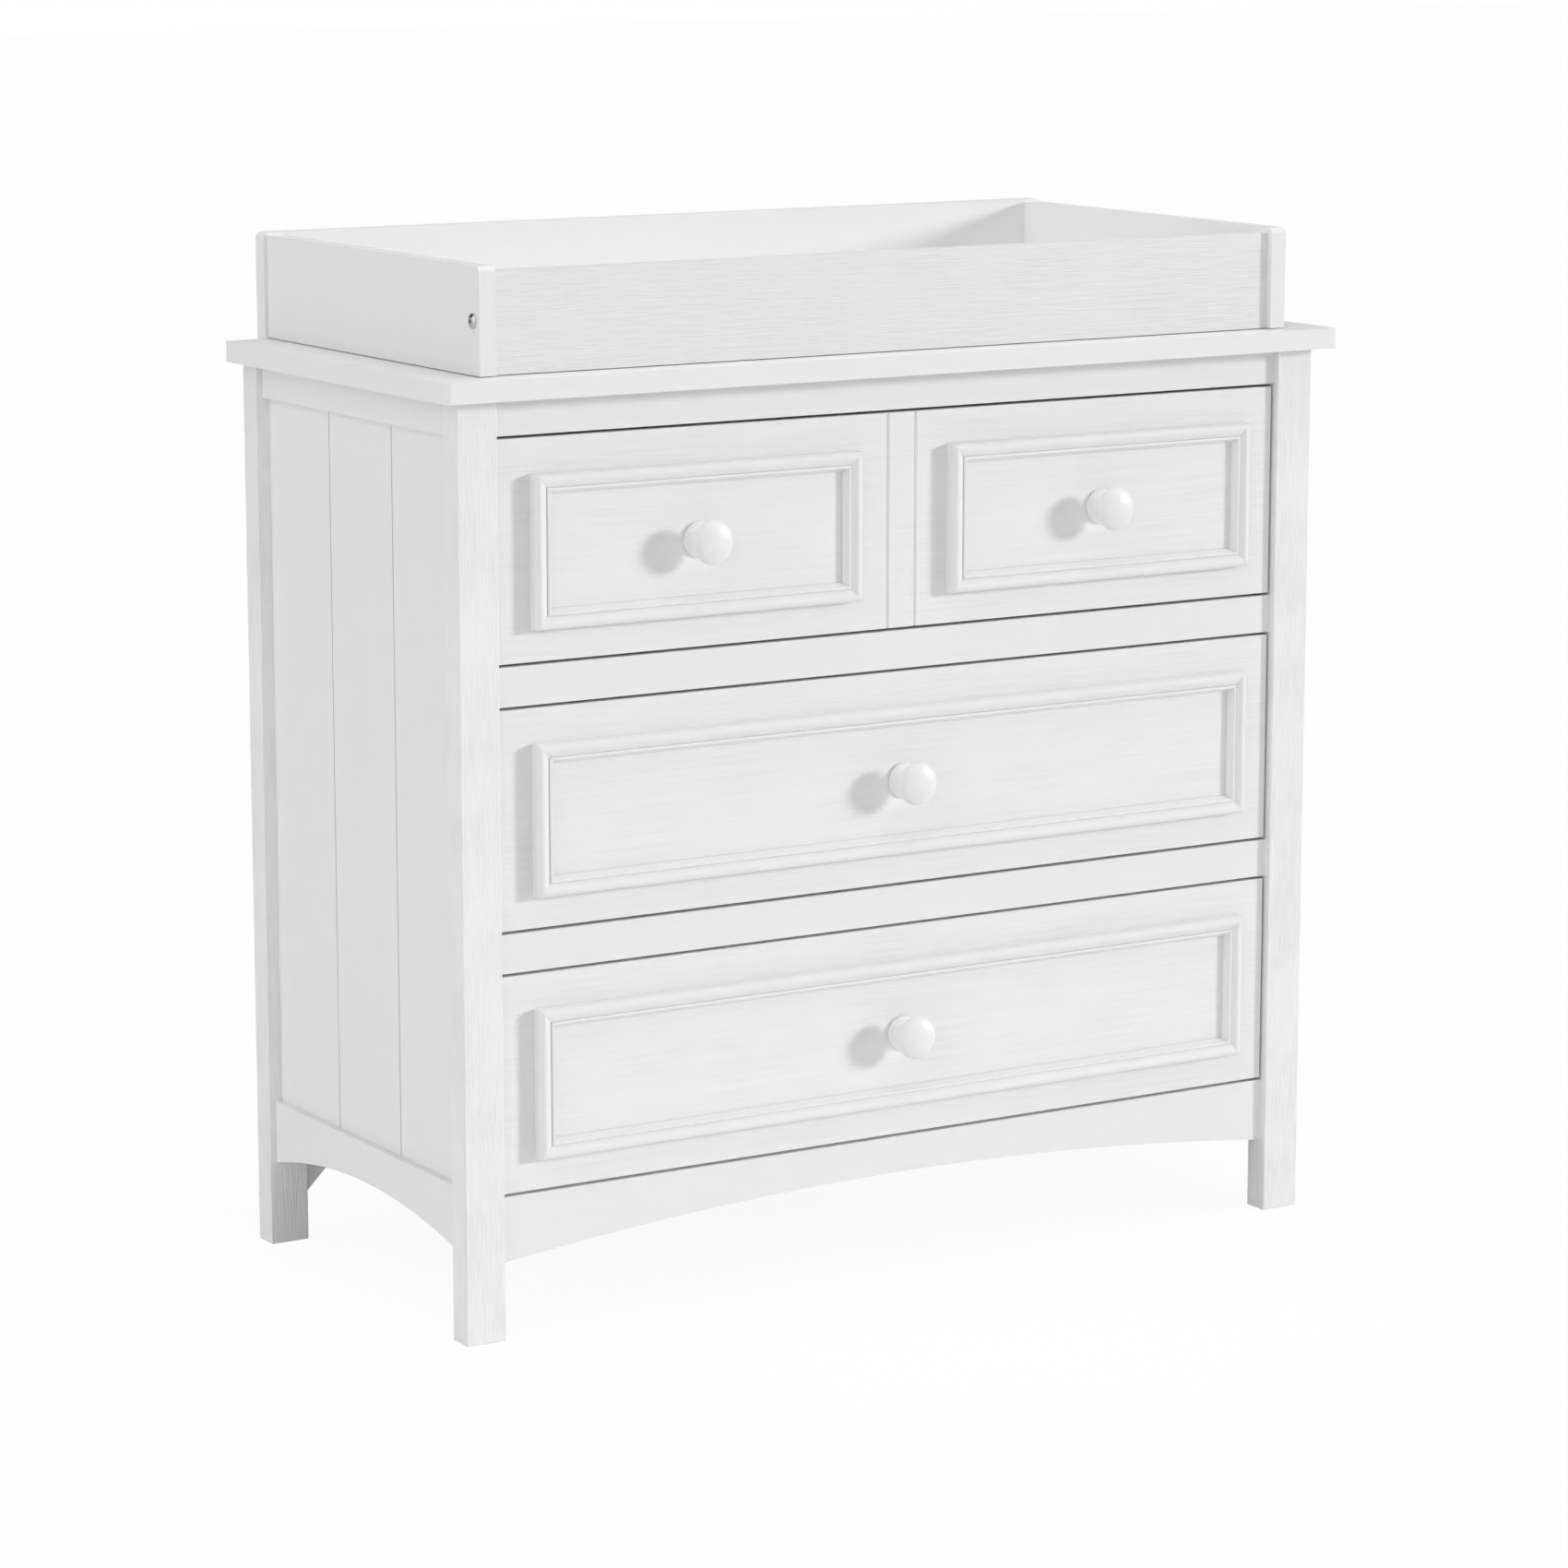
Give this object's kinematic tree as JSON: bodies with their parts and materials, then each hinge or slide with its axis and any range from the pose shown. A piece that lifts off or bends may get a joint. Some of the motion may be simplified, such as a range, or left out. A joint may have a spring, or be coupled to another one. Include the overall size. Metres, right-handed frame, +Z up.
{
  "type": "changing table",
  "caption": "White changing table: a panelled dresser on legs, drawers with moulded fields and round knobs, and a fixed changing tray on its top.",
  "frame": {"origin": "on the floor, under the centre of the object's bounding box (knobs and the tray's back board included)", "axes": "+Z up, +Y towards the back, drawers open towards -Y, +X to the right of someone facing the drawers"},
  "size_m": [0.998, 0.491, 1.0025],
  "materials": {
    "white_paint": "satin white paint over fine straight grain",
    "knob_paint": "smooth satin white paint",
    "drawer_box": "clear-sealed pale wood",
    "thin_board": "white-faced hardboard",
    "zinc": "zinc-plated, dull",
    "fastener_steel": "nickel-plated"
  },
  "bodies": {
    "cabinet": {"top_panel": "white_paint", "front_left_leg": "white_paint", "front_right_leg": "white_paint", "rear_left_leg": "white_paint", "rear_right_leg": "white_paint", "left_side_panel": "white_paint", "right_side_panel": "white_paint", "left_upper_side_rail": "white_paint", "right_upper_side_rail": "white_paint", "left_lower_side_rail": "white_paint", "right_lower_side_rail": "white_paint", "front_top_rail": "white_paint", "upper_divider_rail": "white_paint", "lower_divider_rail": "white_paint", "front_apron": "white_paint", "rear_top_rail": "white_paint", "rear_bottom_rail": "white_paint", "rear_gussets": "white_paint", "back_panel": "thin_board", "left_slide_battens": "drawer_box", "right_slide_battens": "drawer_box", "cam_locks": "fastener_steel", "top_brackets": "fastener_steel", "bracket_screws": "fastener_steel", "cabinet_slides": "zinc", "tray_left_board": "white_paint", "tray_right_board": "white_paint", "tray_front_board": "white_paint", "tray_back_board": "white_paint", "tray_bolts": "fastener_steel", "tray_barrel_nuts": "fastener_steel", "tray_screws": "fastener_steel"},
    "top_slide": {"top_slide_middles": "zinc"},
    "top_drawer": {"top_drawer_front": "white_paint", "top_drawer_moulding": "white_paint", "top_drawer_knobs": "knob_paint", "top_drawer_knob_screws": "fastener_steel", "top_drawer_sides": "drawer_box", "top_drawer_back": "drawer_box", "top_drawer_bottom": "thin_board", "top_drawer_slides": "zinc"},
    "middle_slide": {"middle_slide_middles": "zinc"},
    "middle_drawer": {"middle_drawer_front": "white_paint", "middle_drawer_moulding": "white_paint", "middle_drawer_knob": "knob_paint", "middle_drawer_knob_screw": "fastener_steel", "middle_drawer_sides": "drawer_box", "middle_drawer_back": "drawer_box", "middle_drawer_bottom": "thin_board", "middle_drawer_slides": "zinc"},
    "bottom_slide": {"bottom_slide_middles": "zinc"},
    "bottom_drawer": {"bottom_drawer_front": "white_paint", "bottom_drawer_moulding": "white_paint", "bottom_drawer_knob": "knob_paint", "bottom_drawer_knob_screw": "fastener_steel", "bottom_drawer_sides": "drawer_box", "bottom_drawer_back": "drawer_box", "bottom_drawer_bottom": "thin_board", "bottom_drawer_slides": "zinc"}
  },
  "joints": [
    {"name": "top_drawer_slide", "type": "slide", "parent": "cabinet", "child": "top_drawer", "axis": [0, -1, 0], "range_m": [0, 0.32]},
    {"name": "top_slide_run", "type": "slide", "parent": "cabinet", "child": "top_slide", "axis": [0, -1, 0], "range_m": [0, 0.16]},
    {"name": "middle_drawer_slide", "type": "slide", "parent": "cabinet", "child": "middle_drawer", "axis": [0, -1, 0], "range_m": [0, 0.32]},
    {"name": "middle_slide_run", "type": "slide", "parent": "cabinet", "child": "middle_slide", "axis": [0, -1, 0], "range_m": [0, 0.16]},
    {"name": "bottom_drawer_slide", "type": "slide", "parent": "cabinet", "child": "bottom_drawer", "axis": [0, -1, 0], "range_m": [0, 0.32]},
    {"name": "bottom_slide_run", "type": "slide", "parent": "cabinet", "child": "bottom_slide", "axis": [0, -1, 0], "range_m": [0, 0.16]}
  ],
  "couplings": [
    {"joint": "top_slide_run", "follows": "top_drawer_slide", "ratio": 0.5},
    {"joint": "middle_slide_run", "follows": "middle_drawer_slide", "ratio": 0.5},
    {"joint": "bottom_slide_run", "follows": "bottom_drawer_slide", "ratio": 0.5}
  ]
}
